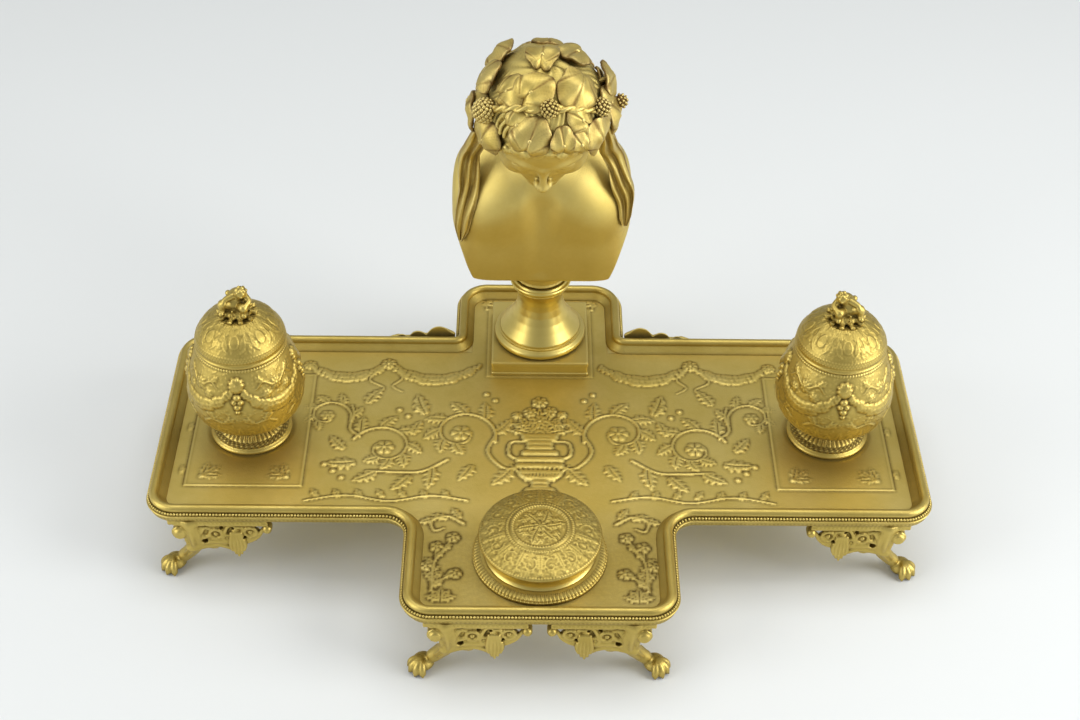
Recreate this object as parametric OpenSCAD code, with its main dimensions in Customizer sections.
// Desk inkstand: a footed cross-shaped tray with two lidded inkwells, a small
// round box in the front bay and a wreathed bust on a turned socle in the back bay.
// Millimetres, +Z up. Origin: middle of the footprint, on the surface it stands on.

/* [Tray] */
// Overall width across the two wings
tray_w = 500; // [420:1:600]
// Depth of the wings, front edge to back edge
wing_d = 174; // [145:1:210]
// Width of the front bay
front_bay_w = 170; // [158:1:220]
// How far the front bay reaches in front of the wings
front_bay_d = 82; // [68:1:110]
// Width of the back bay
back_bay_w = 118; // [110:1:150]
// How far the back bay reaches behind the wings
back_bay_d = 58; // [48:1:80]
// Height of the legs, from the table to the underside of the tray
leg_h = 54.4; // [46:0.1:65]
// Thickness of the floor plate
plate_t = 2.6; // [2:0.1:4]
// Radius of the rounded wing and front bay corners
corner_r = 20; // [16:0.5:26]
// Radius of the hollow corners beside the front bay
fillet_r = 13; // [6:0.5:20]
// Radius of the rounded back bay corners
back_corner_r = 22; // [16:0.5:26]

/* [Rim] */
// Width of the rim moulding
rim_w = 12.6; // [11:0.1:15]
// Height of the rim's large round above the floor
rim_rise = 8.1; // [7.6:0.1:10]
// Radius of the large round
round_r = 3; // [2.6:0.1:3.4]
// Radius of the bead row
bead_r = 1.3; // [1:0.1:1.5]

/* [Crest] */
// Height of the crest scrolls above the rim's underside
crest_h = 20.5; // [14:0.5:30]
// Length of each crest scroll, from the back bay outwards
crest_len = 47; // [36:1:60]
// Thickness of the crest scrolls
crest_t = 3; // [2:0.5:5]

/* [Bust] */
// Distance of the bust's axis from the back edge of the tray
plinth_from_back = 61; // [50:1:80]
// Side of the square plinth
plinth_side = 66.4; // [64:0.1:72]
// Height of the plinth
plinth_h = 12; // [8:0.5:20]
// Height of the turned socle
socle_h = 51.5; // [40:0.5:70]
// Radius of the socle's foot
socle_foot_r = 31.4; // [26:0.1:32]
// Radius of the socle's neck
socle_neck_r = 15; // [12:0.1:18]
// Radius of the socle's top ring
socle_top_r = 20.6; // [18.5:0.1:24]
// Width of the chest across the arm cuts
chest_w = 117; // [98:1:140]
// Height of the chest, from its bottom edge to the shoulders
chest_h = 96; // [88:1:110]
// Depth of the chest
chest_d = 54; // [46:1:64]
// Radius of the head with its hair
hair_r = 41; // [36:0.5:42]
// Forward bow of the head, in degrees
head_bow = 35; // [20:1:42]
// Radius of one wreath leaf
leaf_r = 10.8; // [8:0.1:10.8]

/* [Inkwells] */
// Distance of the inkwell axis from the wing's outer edge
well_inset = 59.3; // [52:0.1:80]
// Distance of the inkwell axis from the wings' front edge
well_from_front = 84.6; // [62:0.1:104]
// Radius of the inkwell's round foot
well_foot_r = 26.7; // [24:0.1:32]
// Largest radius of the inkwell's body
well_belly_r = 37.8; // [36:0.1:46]
// Radius of the body's mouth
well_mouth_r = 28.6; // [27.8:0.1:34]
// Height of the inkwell's foot
well_foot_h = 12.5; // [10:0.1:16]
// Height of the inkwell's body
well_body_h = 64; // [54:0.1:80]
// Height of the domed lid
lid_h = 22.5; // [18:0.1:30]
// How far the lid's rim stands past the mouth
lid_lip = 0.6; // [0.3:0.1:2]
// Height of the finial on the lid
finial_h = 22; // [18:0.1:28]
// Outer radius of the porcelain liner
liner_r = 25.6; // [20:0.1:26]
// Wall of the porcelain liner
liner_wall = 2.4; // [1.6:0.1:3.5]
// Radius of the hinge knuckles
knuckle_r = 2.4; // [2:0.1:2.8]
// Radius of the hinge pin
pin_r = 1.2; // [0.8:0.1:1.5]

/* [Box] */
// Distance of the box axis from the front edge of the tray
box_from_front = 55.1; // [55.1:0.1:64]
// Radius of the box's base ring
box_base_r = 41.9; // [40.5:0.1:42.3]
// Height of the box's base ring
box_base_h = 5.6; // [5:0.1:9]
// Radius of the box body's waist
box_waist_r = 33.4; // [32.5:0.1:35]
// Height of the box body above the floor
box_body_h = 16.8; // [12:0.1:22]
// Radius of the box lid
box_lid_r = 38.4; // [37:0.1:40]
// Height of the box lid
box_lid_h = 9.8; // [8.5:0.1:16]
// Wall of the box body
box_wall = 2; // [1.5:0.1:2.4]

/* [Feet] */
// Distance of each paw's middle from both outer edges of its corner
paw_inset = 11; // [10:0.1:16]
// Length of a full bracket along the edge
bracket_len = 78; // [66:1:80]
// Height of a bracket down to the tip of its leaf drop
bracket_drop = 31; // [24:0.5:38]
// Thickness of the brackets
bracket_t = 5; // [4:0.5:7]

/* [Fasteners and clearances] */
// Radius of the tie rod that holds the bust
tie_rod_r = 3; // [2.4:0.1:3.6]
// Radius of the studs that hold the inkwells and the box
stud_r = 2; // [1.6:0.1:2.4]
// Radius of the small screws
screw_r = 1.4; // [1:0.1:1.6]
// Gap around a rod or screw in its hole
hole_gap = 0.1; // [0.05:0.01:0.3]
// Gap around a hinge pin in its knuckles
pin_gap = 0.05; // [0.02:0.01:0.1]
// Gap between parts that lift apart or nest
fit_gap = 0.3; // [0.2:0.05:0.6]

/* [Hidden] */
$fn = 72;
eps = 0.01;
reach = 1000;
tray_d = front_bay_d + wing_d + back_bay_d;
y_front = -tray_d / 2;
y_wing_front = y_front + front_bay_d;
y_wing_back = y_wing_front + wing_d;
y_back = tray_d / 2;
floor_z = leg_h + plate_t;
// the floor plate lies in a rebate this far inside the rim's outer edge
rebate = 6;
plate_gap = 0.1;
back_inner_r = 0.8;

// corners of the tray in order round it: x, y, radius, turn (1 outward, -1 hollow), heading
CORNERS = [
    [-front_bay_w / 2, y_front, corner_r, 1, -90],
    [front_bay_w / 2, y_front, corner_r, 1, 0],
    [front_bay_w / 2, y_wing_front, fillet_r, -1, 90],
    [tray_w / 2, y_wing_front, corner_r, 1, 0],
    [tray_w / 2, y_wing_back, corner_r, 1, 90],
    [back_bay_w / 2, y_wing_back, back_inner_r, -1, 180],
    [back_bay_w / 2, y_back, back_corner_r, 1, 90],
    [-back_bay_w / 2, y_back, back_corner_r, 1, 180],
    [-back_bay_w / 2, y_wing_back, back_inner_r, -1, 270],
    [-tray_w / 2, y_wing_back, corner_r, 1, 180],
    [-tray_w / 2, y_wing_front, corner_r, 1, 270],
    [-front_bay_w / 2, y_wing_front, fillet_r, -1, 0],
];

function arc(cx, cy, r, a0, a1, n) =
    [for (i = [0:n]) [cx + r * cos(a0 + (a1 - a0) * i / n), cy + r * sin(a0 + (a1 - a0) * i / n)]];
function dir(a) = [cos(a), sin(a), 0];

// ---- feet: where the paws stand ----
// each foot: corner x, corner y, mirror in x, mirror in y, share of the bracket that is kept
short_share = 0.68;
FEET = [
    [-tray_w / 2, y_wing_front, 0, 0, 1],
    [tray_w / 2, y_wing_front, 1, 0, 1],
    [-front_bay_w / 2, y_front, 0, 0, 1],
    [front_bay_w / 2, y_front, 1, 0, 1],
    [-tray_w / 2, y_wing_back, 0, 1, 1],
    [tray_w / 2, y_wing_back, 1, 1, 1],
    [-back_bay_w / 2, y_back, 0, 1, short_share],
    [back_bay_w / 2, y_back, 1, 1, short_share],
];
bracket_inset = 2;
flange_t = 2.4;
flange_w = 15;
foot_screw_at = [28, 44];
foot_screw_in = 12;
screw_head_r = 2.6;
screw_head_h = 1.6;

// ---- bust ----
bust_y = y_back - plinth_from_back;
socle_z = floor_z + plinth_h;
bust_z = socle_z + socle_h;
// the chest's bottom edge stands above the socle on a short boss
boss_h = 8.5;
boss_r = socle_top_r - 3;
chest_z = bust_z + boss_h;
shoulder_z = chest_z + chest_h;
// middle of the hair ball, in front of and above the shoulders
hair_y = bust_y - 27.5;
hair_z = shoulder_z + 45;
face_r = 15;
rod_depth = 20;
stem_r = 1.4;
berry_r = 4.2;
ribbon_w = 8;
ribbon_t = 4;
chest_corner_r = 9;
chest_front_y = bust_y - chest_d / 2;

// ---- inkwells ----
well_x = tray_w / 2 - well_inset;
well_y = y_wing_front + well_from_front;
body_z = floor_z + well_foot_h;
mouth_z = body_z + well_body_h;
lid_r = well_mouth_r + lid_lip;
well_neck_r = 13.5;
cup_r = liner_r + fit_gap;
cup_floor = 12;
lid_wall = 2;
hinge_back = lid_r + knuckle_r + 0.8;
hinge_z = mouth_z + 0.7;
knuckle_w = 5;
knuckle_gap = 0.3;
finial_seat_r = 13;
finial_z = mouth_z + lid_h;
nut_r = 4.6;
nut_h = 3;

// ---- box ----
box_y = y_front + box_from_front;
box_body_r = box_waist_r + 1.2;
box_floor_t = 2.4;
box_lip = 3;
box_rim_z = floor_z + box_body_h;

// ================= tray =================

// a slab with rounded corners at one end: x half width, y range, corner radii of both ends
module round_slab(half_w, y0, y1, r0, r1, h) {
    difference() {
        translate([-half_w, y0, 0]) cube([2 * half_w, y1 - y0, h]);
        for (s = [-1, 1]) {
            slab_corner(s * half_w, y0, s, 1, r0, h);
            slab_corner(s * half_w, y1, s, -1, r1, h);
        }
    }
}

// what is cut off a square corner to round it
module slab_corner(x, y, sx, sy, r, h) {
    if (r > 0)
        translate([x - sx * r, y + sy * r, -1])
            difference() {
                translate([sx > 0 ? 0 : -r - 1, sy > 0 ? -r - 1 : 0, 0]) cube([r + 1, r + 1, h + 2]);
                translate([0, 0, -1]) cylinder(r = r, h = h + 4);
            }
}

// web that fills the hollow corner beside the front bay
module hollow_corner(s, inset, h) {
    x = s * (front_bay_w / 2 - inset);
    y = y_wing_front + inset;
    r = fillet_r + inset;
    difference() {
        translate([s > 0 ? x - 1 : x - r, y - r, 0]) cube([r + 1, r + 1, h]);
        translate([x + s * r, y - r, -1]) cylinder(r = r, h = h + 2);
    }
}

// the cross-shaped outline, inset from the rim's outer edge, as a slab
module cross_slab(inset, h) {
    round_slab(tray_w / 2 - inset, y_wing_front + inset, y_wing_back - inset,
        corner_r - inset, corner_r - inset, h);
    round_slab(front_bay_w / 2 - inset, y_front + inset, y_wing_front + inset + 1, corner_r - inset, 0, h);
    round_slab(back_bay_w / 2 - inset, y_wing_back - inset - 1, y_back - inset, 0,
        back_corner_r - inset, h);
    for (s = [-1, 1]) hollow_corner(s, inset, h);
}

module foot_screw_places() {
    for (f = FEET) {
        sx = f[2] == 1 ? -1 : 1;
        sy = f[3] == 1 ? -1 : 1;
        for (a = foot_screw_at)
            translate([f[0] + sx * a * (f[4] < 1 ? short_share : 1), f[1] + sy * foot_screw_in, 0])
                children();
    }
}

module tray_plate() {
    color("darkgoldenrod")
    difference() {
        translate([0, 0, leg_h]) cross_slab(rebate + plate_gap, plate_t);
        for (s = [-1, 1])
            translate([s * well_x, well_y, 0]) cylinder(r = stud_r + hole_gap, h = reach);
        translate([0, box_y, 0]) cylinder(r = stud_r + hole_gap, h = reach);
        translate([0, bust_y, 0]) cylinder(r = tie_rod_r + hole_gap, h = reach);
        foot_screw_places() cylinder(r = screw_r + hole_gap, h = leg_h + plate_t + eps);
    }
}

// section of the rim: x is the distance in from the outer edge, y the height over the floor
module rim_section() {
    round_x = 5.6;
    round_y = rim_rise - round_r;
    bead_x = 2;
    bead_y = 3.6;
    edge_low = 1.4;
    edge_high = 2.4;
    foot_x = 2.4;
    polygon(concat(
        [[foot_x, -plate_t], [rebate, -plate_t], [rebate, 0], [rim_w, 0]],
        // hollow inner side, from the floor up to the large round
        [[rim_w, 0.8], [rim_w - 1.8, 1.8], [rim_w - 3.1, 3], [round_x + round_r, round_y - 1.2]],
        arc(round_x, round_y, round_r, 0, 170, 13),
        arc(bead_x, bead_y, bead_r, 70, 210, 8),
        [[0, edge_high], [0, edge_low], [0.8, edge_low - 0.5], [1.4, 0.3]]));
}

module tray_rim() {
    n = len(CORNERS);
    color("gold")
    difference() {
        translate([0, 0, floor_z])
        union() {
            for (i = [0:n - 1]) {
                a = CORNERS[i];
                b = CORNERS[(i + 1) % n];
                run = b[4];
                start = [a[0], a[1], 0] + a[2] * dir(run);
                length = abs(a[0] - b[0]) + abs(a[1] - b[1]) - a[2] - b[2];
                translate(start) rotate([0, 0, run]) rotate([90, 0, 90])
                    linear_extrude(length) rim_section();
                rim_corner(a);
            }
        }
        crest_screw_places() crest_bore();
    }
}

module rim_corner(c) {
    r = c[2];
    centre = [c[0], c[1], 0] - r * dir(c[4]) + c[3] * r * dir(c[4] + 90);
    translate(centre)
    if (c[3] > 0)
        rotate([0, 0, c[4] - 90]) rotate_extrude(angle = 90) translate([r, 0]) mirror([1, 0]) rim_section();
    else
        rotate([0, 0, c[4]]) rotate_extrude(angle = 90) translate([r, 0]) rim_section();
}

// ================= crest scrolls on the back edge =================

crest_screw_x = 20;
crest_screw_z = 3.6;
crest_screw_len = 4;

module crest_screw_places() {
    for (s = [-1, 1])
        translate([s * (back_bay_w / 2 + crest_screw_x), y_wing_back, leg_h + crest_screw_z])
            rotate([90, 0, 0]) children();
}

// the screw hole in the rim, entered from the back
module crest_bore() {
    cylinder(r = screw_r + hole_gap, h = crest_screw_len + hole_gap);
}

module crest(s) {
    hump = crest_h * 0.34;
    bump = crest_h * 0.22;
    spike_w = 4;
    // outline from the back bay outwards: a spike, a hump, a smaller bump and a long taper
    color("goldenrod")
    difference() {
        translate([s * (back_bay_w / 2 + fit_gap), y_wing_back + crest_t, leg_h])
        rotate([90, 0, 0])
        linear_extrude(crest_t)
        mirror([s < 0 ? 1 : 0, 0])
        union() {
            polygon([[0, 0], [crest_len - 4, 0], [crest_len, crest_h * 0.36], [crest_len * 0.7, crest_h * 0.5],
                [crest_len * 0.2, crest_h * 0.6], [spike_w, crest_h * 0.72], [1, crest_h], [0, crest_h]]);
            translate([crest_len * 0.25, crest_h - hump]) circle(r = hump);
            translate([crest_len * 0.25 - hump * 0.8, 1]) square([hump * 1.6, crest_h - hump]);
            translate([crest_len * 0.63, crest_h * 0.68 - bump]) circle(r = bump);
            translate([crest_len * 0.63 - bump, 1]) square([bump * 2, crest_h * 0.68 - bump]);
        }
        crest_screw_places() translate([0, 0, -crest_t - 1]) crest_bore();
    }
}

module crest_screws() {
    color("peru")
    crest_screw_places() {
        cylinder(r = screw_r, h = crest_screw_len);
        translate([0, 0, -crest_t]) cylinder(r = screw_r, h = crest_t);
        translate([0, 0, -crest_t - screw_head_h]) cylinder(r = screw_head_r, h = screw_head_h);
    }
}

// ================= feet =================

// Local frame of a foot: origin at the tray's corner on the table, x along the edge,
// y inwards under the tray. The bracket hangs from z = leg_h.
module foot_shape(share) {
    length = bracket_len * share;
    top = leg_h;
    low = leg_h - bracket_drop;
    drop_x = 57 * length / bracket_len / share * min(share * 1.22, 1);
    arch_z = leg_h - bracket_drop * 0.72;
    leg_x = 20;
    leg_w = 11;
    ankle_x = paw_inset;
    ankle_z = 13;
    volute_r = 5.2;
    end_r = 3.6;
    difference() {
        union() {
            // pierced bracket along the edge
            translate([0, bracket_inset + bracket_t, 0]) rotate([90, 0, 0]) linear_extrude(bracket_t)
            union() {
                polygon([[leg_x, top], [length - end_r, top], [length - end_r, top - 3], [drop_x + 9, arch_z + 5],
                    [drop_x + 5, low + 10], [drop_x, low], [drop_x - 6, low + 8], [drop_x - 9, arch_z],
                    [leg_x + 12, arch_z], [leg_x + 4, arch_z - 8]]);
                translate([leg_x - 1, top - volute_r - 6]) circle(r = volute_r);
                translate([length - end_r, top - end_r]) circle(r = end_r);
            }
            // leg, from the bracket's outer volute down to the ankle
            translate([0, bracket_inset + bracket_t + 2, 0]) rotate([90, 0, 0]) linear_extrude(bracket_t + 2)
                polygon([[leg_x - 1, top], [leg_x + leg_w, top], [leg_x + leg_w + 2, arch_z],
                    [leg_x + 4, ankle_z + 12], [ankle_x + 6, ankle_z - 2], [ankle_x - 3, ankle_z - 2],
                    [ankle_x - 1, ankle_z + 8], [leg_x - 6, arch_z - 2], [leg_x - 1, arch_z + 6]]);
            // fixing flange under the tray
            translate([leg_x - 7, bracket_inset, top - flange_t])
                cube([length - leg_x + 7 - 2 * end_r, flange_w, flange_t]);
            // ball of the paw and its four toes
            translate([paw_inset, paw_inset, 0]) paw();
        }
        // piercings of the scrollwork
        for (p = [[leg_x + 17, top - 15, 2.2], [drop_x + 3, top - 9, 2], [drop_x - 6, top - 8, 1.6]])
            translate([p[0], 0, p[1]]) rotate([-90, 0, 0]) cylinder(r = p[2], h = bracket_inset + bracket_t + 1);
        for (a = foot_screw_at)
            translate([a * (share < 1 ? short_share : 1), foot_screw_in, top - flange_t - 1])
                cylinder(r = screw_r + hole_gap, h = flange_t + 2);
    }
}

module paw() {
    pad_r = 6.4;
    toe_r = 3.1;
    toe_out = 5.6;
    rotate([0, 0, -135]) {
        intersection() {
            translate([-0.5, 0, 5]) sphere(r = pad_r + 1);
            translate([-10, -10, 0]) cube([20, 20, 20]);
        }
        intersection() {
            for (i = [-1.5, -0.5, 0.5, 1.5])
                rotate([0, 0, i * 30]) translate([toe_out, 0, toe_r - 0.2]) sphere(r = toe_r);
            translate([-12, -12, 0]) cube([24, 24, 12]);
        }
        cylinder(r = pad_r, h = 3);
    }
}

module foot(i) {
    f = FEET[i];
    color("goldenrod")
    translate([f[0], f[1], 0]) mirror([f[2], 0, 0]) mirror([0, f[3], 0]) foot_shape(f[4]);
}

module foot_screws() {
    color("peru")
    foot_screw_places() {
        translate([0, 0, leg_h - flange_t - screw_head_h]) cylinder(r = screw_head_r, h = screw_head_h);
        translate([0, 0, leg_h - flange_t]) cylinder(r = screw_r, h = flange_t + plate_t - 0.3);
    }
}

// ================= plinth, socle and bust =================

module plinth() {
    color("darkgoldenrod")
    translate([0, bust_y, floor_z])
    difference() {
        translate([-plinth_side / 2, -plinth_side / 2, 0]) cube([plinth_side, plinth_side, plinth_h]);
        translate([0, 0, -1]) cylinder(r = tie_rod_r + hole_gap, h = plinth_h + 2);
    }
}

module socle() {
    h = socle_h;
    f = socle_foot_r;
    n = socle_neck_r;
    t = socle_top_r;
    color("gold")
    translate([0, bust_y, socle_z])
    difference() {
        rotate_extrude()
        polygon(concat(
            [[0, 0], [f - 2, 0]],
            arc(f - 3.6, 3.6, 3.6, -60, 75, 8),
            [[f - 4, h * 0.155], [f - 4.2, h * 0.18]],
            [for (i = [1:9]) let (u = i / 10) [n + (f - 5 - n) * pow(1 - u, 2.1), h * (0.18 + 0.46 * u)]],
            [[n, h * 0.64], [n + 0.4, h * 0.73], [n + 2, h * 0.82], [t - 2, h * 0.89]],
            arc(t - 1.5, h * 0.95, 1.5, -60, 60, 5),
            [[t - 2, h], [0, h]]));
        translate([0, 0, -1]) cylinder(r = tie_rod_r + hole_gap, h = h + 2);
    }
}

// one level of the chest: four thin discs at the corners of a rounded rectangle
module chest_level(w, d, y, z, r) {
    for (sx = [-1, 1]) for (sy = [-1, 1])
        translate([sx * (w / 2 - r), y + sy * (d / 2 - r), z]) cylinder(r = r, h = 0.5, $fn = 32);
}

// directions of the bowed head: forward through the face, and up through the crown
face_dir = [0, -cos(head_bow), -sin(head_bow)];
crown_dir = [0, -sin(head_bow), cos(head_bow)];

module chest() {
    w = chest_w;
    d = chest_d;
    hull() {
        chest_level(w * 0.72, d * 0.80, bust_y + 1, chest_z, 10);
        chest_level(w * 0.94, d, bust_y, chest_z + chest_h * 0.34, chest_corner_r);
        chest_level(w, d, bust_y, chest_z + chest_h * 0.72, chest_corner_r);
        chest_level(w * 0.94, d * 0.86, bust_y + 3, chest_z + chest_h * 0.88, 12);
        chest_level(w * 0.7, d * 0.55, bust_y + 5, chest_z + chest_h - 0.5, 12);
    }
}

module bust() {
    head = [0, hair_y, hair_z];
    color("goldenrod")
    difference() {
        union() {
            chest();
            hull() {
                translate([0, bust_y + 1, shoulder_z - 14]) sphere(r = 25, $fn = 32);
                translate(head - 8 * face_dir - 20 * crown_dir) sphere(r = 23, $fn = 32);
            }
            hull() {
                translate(head) sphere(r = hair_r - 8, $fn = 32);
                translate(head + 17 * face_dir - 31 * crown_dir) sphere(r = face_r, $fn = 32);
            }
            translate(head) sphere(r = hair_r);
            translate([0, bust_y, bust_z]) cylinder(r = boss_r, h = boss_h + 1);
        }
        translate([0, bust_y, bust_z - 1]) cylinder(r = tie_rod_r + hole_gap, h = rod_depth + 1);
    }
}

// moves children from the crown of a ball at the head's middle to a place on the hair:
// lean is the angle forward of the crown, side the angle round to the right
module on_hair(lean, side) {
    translate([0, hair_y, hair_z]) rotate([head_bow + lean, 0, 0]) rotate([0, side, 0])
        translate([0, 0, hair_r + 0.05]) children();
}

// leaves over the crown, clear of the stem and of each other: lean forward, side
LEAVES = [
    [-2, 0], [42, 0], [-38, 0], [-74, 0], [-6, 34], [-6, -34], [46, 34], [46, -34],
    [-46, 36], [-46, -36], [-28, 64], [-28, -64], [68, 64], [68, -64],
];

module wreath_leaves() {
    leaf_t = 2.4;
    color("goldenrod")
    for (l = LEAVES)
        on_hair(l[0], l[1]) cylinder(r = leaf_r, h = leaf_t);
}

stem_lean = 20;
module stem_shape(r, sweep) {
    translate([0, hair_y, hair_z]) rotate([head_bow + stem_lean, 0, 0]) rotate([90, 0, 0])
        rotate([0, 0, 90 - sweep / 2]) rotate_extrude(angle = sweep)
            translate([hair_r + stem_r + 0.05, 0]) circle(r = r);
}

module wreath_stem() {
    color("peru")
    difference() {
        stem_shape(stem_r, 200);
        berry_places() sphere(r = berry_r + 0.05);
    }
}

module berry_places() {
    for (a = [-56, -2, 38, 68])
        on_hair(stem_lean, a) translate([0, 0, berry_r]) children();
}

module wreath_berries() {
    color("peru") berry_places() sphere(r = berry_r);
}

module ribbon(s) {
    low = chest_z + chest_h * 0.36;
    high = shoulder_z + 18;
    x = chest_w * 0.94 / 2 - chest_corner_r - ribbon_w;
    color("goldenrod")
    translate([s > 0 ? x : -x - ribbon_w, chest_front_y - ribbon_t, low])
        cube([ribbon_w, ribbon_t, high - low]);
}

module tie_rod() {
    below = nut_h + 5;
    color("silver")
    translate([0, bust_y, leg_h - below])
        cylinder(r = tie_rod_r, h = below + plate_t + plinth_h + socle_h + rod_depth - 1);
}

module tie_washer() {
    color("silver")
    translate([0, bust_y, leg_h - 1.6])
    difference() {
        cylinder(r = 11, h = 1.6);
        translate([0, 0, -1]) cylinder(r = tie_rod_r + hole_gap, h = 4);
    }
}

module tie_nut() {
    color("silver")
    translate([0, bust_y, leg_h - 1.6 - nut_h - 1])
    difference() {
        cylinder(r = 6.4, h = nut_h + 1, $fn = 6);
        translate([0, 0, -1]) cylinder(r = tie_rod_r + hole_gap, h = nut_h + 3);
    }
}

// ================= inkwells =================

module at_well(s) {
    translate([s * well_x, well_y, 0]) children();
}

module inkwell_foot(s) {
    f = well_foot_r;
    n = well_neck_r;
    h = well_foot_h;
    color("goldenrod")
    at_well(s) translate([0, 0, floor_z])
    difference() {
        rotate_extrude()
        polygon(concat(
            [[0, 0], [f - 0.6, 0]],
            arc(f - 1.5, 1.6, 1.5, -60, 75, 6),
            [[f - 2.4, h * 0.3], [f - 5, h * 0.46]],
            [for (i = [1:5]) let (u = i / 6) [n + (f - 6 - n) * pow(1 - u, 1.8), h * (0.46 + 0.46 * u)]],
            [[n, h * 0.94], [n, h], [0, h]]));
        translate([0, 0, -1]) cylinder(r = stud_r + hole_gap, h = h + 2);
    }
}

// outer radius of the inkwell's body at height z over its bottom
function well_r(z) = let (u = z / well_body_h, v = u < 0.41 ? (0.41 - u) / 0.41 : (u - 0.41) / 0.59)
    u < 0.41 ? well_belly_r - (well_belly_r - 16) * pow(v, 2.5)
             : well_belly_r - (well_belly_r - well_mouth_r) * pow(v, 1.75);

module inkwell_body(s) {
    steps = 16;
    lug_w = knuckle_w + 1;
    color("goldenrod")
    at_well(s)
    difference() {
        union() {
            translate([0, 0, body_z]) rotate_extrude()
                polygon(concat([[0, 0]],
                    [for (i = [0:steps]) [well_r(well_body_h * i / steps), well_body_h * i / steps]],
                    [[0, well_body_h]]));
            // two lugs with the outer knuckles of the hinge
            for (t = [-1, 1])
                translate([t > 0 ? knuckle_w / 2 + knuckle_gap : -knuckle_w / 2 - knuckle_gap - lug_w, 0, 0]) {
                    translate([0, hinge_back, hinge_z]) rotate([0, 90, 0]) cylinder(r = knuckle_r, h = lug_w);
                    translate([0, well_mouth_r - 3, mouth_z - 7])
                        cube([lug_w, hinge_back - well_mouth_r + 3, 7]);
                }
        }
        translate([0, 0, body_z + cup_floor]) cylinder(r = cup_r, h = reach);
        translate([0, 0, body_z - 1]) cylinder(r = stud_r + hole_gap, h = cup_floor - 3);
        hinge_bore();
    }
}

module hinge_bore() {
    half = knuckle_w * 2;
    translate([-half, hinge_back, hinge_z]) rotate([0, 90, 0]) cylinder(r = pin_r + pin_gap, h = 2 * half);
}

module inkwell_lid(s) {
    r = lid_r;
    h = lid_h;
    w = lid_wall;
    seat = finial_seat_r;
    color("gold")
    at_well(s)
    difference() {
        union() {
            translate([0, 0, mouth_z]) rotate_extrude()
                polygon(concat(
                    [[r - w - 1.6, 0], [r - 0.4, 0], [r, 0.6], [r, 2]],
                    [for (i = [1:8]) let (u = i / 8)
                        [seat + (r - seat) * pow(cos(u * 90), 1.3), 2 + (h - 2) * sin(u * 90)]],
                    [[0, h], [0, h - w]],
                    [for (i = [0:6]) let (u = 1 - i / 6)
                        [(seat - w) + (r - seat - 0.6) * cos(u * 90), 1.4 + (h - 1.4 - w) * sin(u * 90)]]));
            // middle knuckle on a short tongue
            translate([-knuckle_w / 2, hinge_back, hinge_z]) rotate([0, 90, 0])
                cylinder(r = knuckle_r, h = knuckle_w);
            translate([-knuckle_w / 2, r - 2, mouth_z]) cube([knuckle_w, hinge_back - r + 2, 2.6]);
        }
        hinge_bore();
        translate([0, 0, mouth_z + h - w - 1]) cylinder(r = screw_r + hole_gap, h = w + 2);
    }
}

// a small seated figure on a leafy tuft
module inkwell_finial(s) {
    h = finial_h;
    color("goldenrod")
    at_well(s) translate([0, 0, finial_z])
    difference() {
        union() {
            cylinder(r = finial_seat_r - 0.8, h = 1.6);
            translate([0, 0, 1]) cylinder(r1 = finial_seat_r - 2, r2 = 6, h = h * 0.22);
            translate([-1, 0, h * 0.38]) sphere(r = h * 0.25);
            translate([1.2, 0.6, h * 0.6]) sphere(r = h * 0.22);
            translate([-6.5, -2.5, h * 0.36]) sphere(r = h * 0.14);
            translate([2.2, -0.6, h * 0.85]) sphere(r = h * 0.15);
        }
        translate([0, 0, -1]) cylinder(r = screw_r + hole_gap, h = h * 0.35);
    }
}

module inkwell_finial_screw(s) {
    color("silver")
    at_well(s) translate([0, 0, finial_z - lid_wall]) {
        translate([0, 0, -screw_head_h]) cylinder(r = screw_head_r, h = screw_head_h);
        cylinder(r = screw_r, h = lid_wall + finial_h * 0.25);
    }
}

module inkwell_liner(s) {
    base = 3;
    height = well_body_h - cup_floor - 0.8;
    color("ivory")
    at_well(s) translate([0, 0, body_z + cup_floor])
    difference() {
        cylinder(r = liner_r, h = height);
        translate([0, 0, base]) cylinder(r = liner_r - liner_wall, h = height);
    }
}

module inkwell_hinge_pin(s) {
    half = knuckle_w * 1.5 + knuckle_gap + 1;
    color("silver")
    at_well(s) translate([-half, hinge_back, hinge_z]) rotate([0, 90, 0]) cylinder(r = pin_r, h = 2 * half);
}

module inkwell_stud(s) {
    below = nut_h + 2;
    color("silver")
    at_well(s) translate([0, 0, leg_h - below])
        cylinder(r = stud_r, h = below + plate_t + well_foot_h + cup_floor - 5);
}

module inkwell_nut(s) {
    color("silver")
    at_well(s) translate([0, 0, leg_h - nut_h])
    difference() {
        cylinder(r = nut_r, h = nut_h, $fn = 6);
        translate([0, 0, -1]) cylinder(r = stud_r + hole_gap, h = nut_h + 2);
    }
}

// ================= box =================

module at_box() {
    translate([0, box_y, floor_z]) children();
}

module box_base() {
    r = box_base_r;
    h = box_base_h;
    color("darkgoldenrod")
    at_box() rotate_extrude()
        polygon(concat(
            [[box_body_r + hole_gap, 0], [r - 0.6, 0], [r, 0.6], [r, 2.2]],
            [for (i = [1:5]) let (u = i / 5) [r - (r - box_body_r - 1.6) * u, 2.2 + (h - 2.2) * sin(90 * u)]],
            [[box_body_r + hole_gap, h]]));
}

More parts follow.
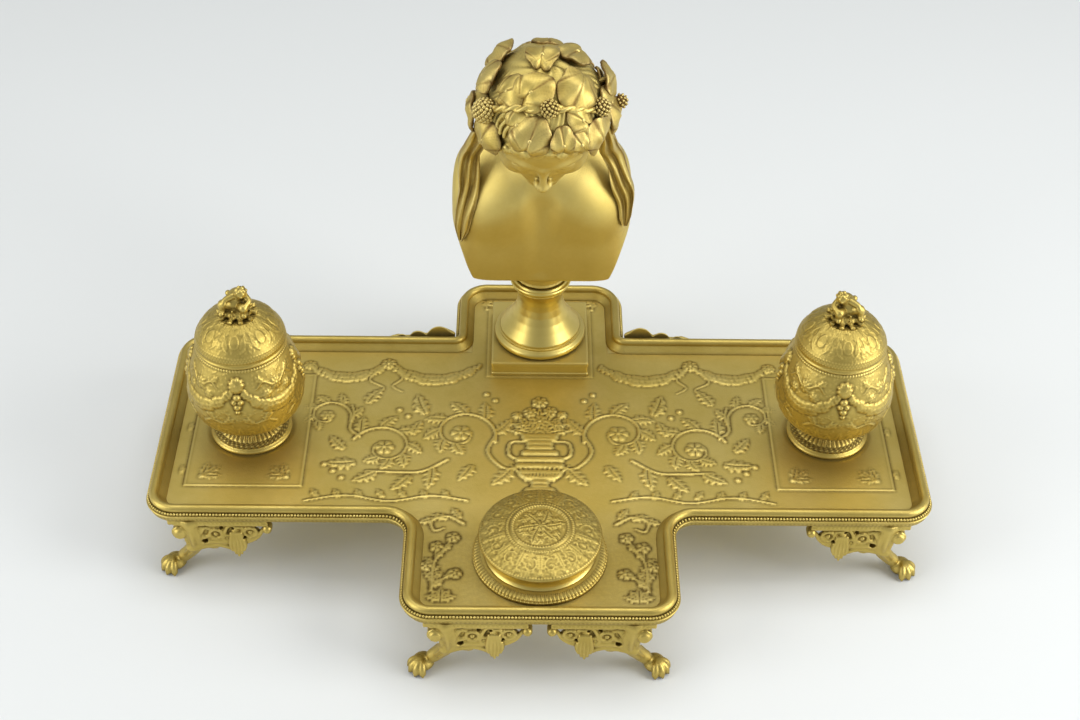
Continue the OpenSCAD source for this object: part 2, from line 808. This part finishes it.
module box_body() {
    w = box_waist_r;
    h = box_body_h;
    color("gold")
    at_box()
    difference() {
        rotate_extrude()
            polygon([[0, 0], [box_body_r, 0], [box_body_r, box_base_h + 0.4], [w + 0.2, box_base_h + 1.4],
                [w, box_base_h + 2.4], [w + 0.5, h - 1.8], [w + 2.2, h - 0.6], [w + 2.2, h], [0, h]]);
        translate([0, 0, box_floor_t]) cylinder(r = w - box_wall, h = h);
        translate([0, 0, -1]) cylinder(r = stud_r + hole_gap, h = box_floor_t + 2);
    }
}

module box_lid() {
    r = box_lid_r;
    h = box_lid_h;
    medal_r = 18.4;
    lip_r = box_waist_r - box_wall - fit_gap;
    top = 1.6;
    color("goldenrod")
    at_box() translate([0, 0, box_body_h])
    rotate_extrude()
        polygon(concat(
            [[lip_r - 1.6, -box_lip], [lip_r, -box_lip], [lip_r, 0], [r - 0.4, 0], [r, 0.4], [r, 1.4]],
            [for (i = [1:5]) let (u = i / 5)
                [medal_r + 1 + (r - medal_r - 1) * cos(90 * u), 1.4 + (h - 2.2) * sin(90 * u)]],
            [[medal_r, h], [medal_r - 1.2, h], [medal_r - 2, h - 0.8], [0, h - 0.8], [0, h - 0.8 - top],
                [medal_r, h - 0.8 - top], [lip_r - 1.6, 1]]));
}

module box_bolt() {
    shank = plate_t + box_floor_t;
    color("silver")
    translate([0, box_y, leg_h]) {
        translate([0, 0, -2.4]) cylinder(r = nut_r, h = 2.4, $fn = 6);
        cylinder(r = stud_r, h = shank);
        translate([0, 0, shank]) cylinder(r = nut_r - 0.6, h = 1.8, $fn = 6);
    }
}

tray_plate();
tray_rim();
foot(0);  // wing_foot_front_left
foot(1);  // wing_foot_front_right
foot(2);  // bay_foot_front_left
foot(3);  // bay_foot_front_right
foot(4);  // wing_foot_back_left
foot(5);  // wing_foot_back_right
foot(6);  // bay_foot_back_left
foot(7);  // bay_foot_back_right
foot_screws();
crest(-1);  // crest_left
crest(1);  // crest_right
crest_screws();
plinth();
socle();
bust();
wreath_leaves();
wreath_stem();
wreath_berries();
ribbon(-1);  // ribbon_left
ribbon(1);  // ribbon_right
tie_rod();
tie_washer();
tie_nut();
inkwell_foot(-1);  // inkwell_left_foot
inkwell_body(-1);  // inkwell_left_body
inkwell_lid(-1);  // inkwell_left_lid
inkwell_finial(-1);  // inkwell_left_finial
inkwell_liner(-1);  // inkwell_left_liner
inkwell_hinge_pin(-1);  // inkwell_left_hinge_pin
inkwell_stud(-1);  // inkwell_left_stud
inkwell_nut(-1);  // inkwell_left_nut
inkwell_finial_screw(-1);  // inkwell_left_finial_screw
inkwell_foot(1);  // inkwell_right_foot
inkwell_body(1);  // inkwell_right_body
inkwell_lid(1);  // inkwell_right_lid
inkwell_finial(1);  // inkwell_right_finial
inkwell_liner(1);  // inkwell_right_liner
inkwell_hinge_pin(1);  // inkwell_right_hinge_pin
inkwell_stud(1);  // inkwell_right_stud
inkwell_nut(1);  // inkwell_right_nut
inkwell_finial_screw(1);  // inkwell_right_finial_screw
box_base();
box_body();
box_lid();
box_bolt();
